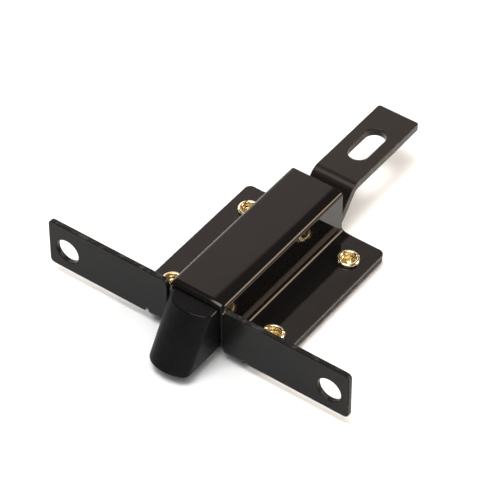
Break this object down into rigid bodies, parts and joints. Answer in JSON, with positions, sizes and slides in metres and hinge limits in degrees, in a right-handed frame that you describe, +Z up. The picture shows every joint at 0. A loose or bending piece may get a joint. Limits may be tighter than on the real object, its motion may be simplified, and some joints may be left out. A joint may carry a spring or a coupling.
{
  "type": "spring bolt latch",
  "caption": "Slam latch: sprung bolt with a ramped nose in a riveted pressed steel case, face plate with screw holes, and a slotted pull tail that draws the bolt back.",
  "frame": {"origin": "in the middle plane, midway from the bolt's nose to the end of the tail, at the level that the rivet heads under the base rest on", "axes": "+X across the latch along the face plate, +Y from the bolt's nose towards the pull tail, which is the way the bolt retracts, +Z up out of the base plate; seen along +Y, +X is to the right"},
  "size_m": [0.12, 0.135, 0.0225],
  "materials": {
    "bracket_paint": "satin black paint",
    "case_paint": "gloss black paint",
    "strap_paint": "satin brownish black paint",
    "rivet_brass": "bright brass plating, a little tarnished",
    "bolt_nylon": "satin black moulded plastic with a fine speckle",
    "pin_zinc": "zinc plated",
    "seat_zinc": "zinc plated sheet",
    "spring_steel": "plain spring steel"
  },
  "bodies": {
    "latch_frame": {"bracket": "bracket_paint", "case": "case_paint", "case_rivet_1": "rivet_brass", "case_rivet_2": "rivet_brass", "case_rivet_3": "rivet_brass", "case_rivet_4": "rivet_brass", "stop_stud": "pin_zinc", "spring_seat": "seat_zinc", "spring_guide_pin": "pin_zinc", "return_spring": "spring_steel"},
    "bolt_slider": {"bolt": "bolt_nylon", "tail_strap": "strap_paint", "strap_pin_1": "pin_zinc", "strap_pin_2": "pin_zinc"}
  },
  "joints": [
    {"name": "bolt_slide", "type": "slide", "parent": "latch_frame", "child": "bolt_slider", "axis": [0, 1, 0], "range_m": [0, 0.0175], "stiffness_N_per_m": 600, "springref_m": -0.012, "deforming": ["return_spring"]}
  ]
}
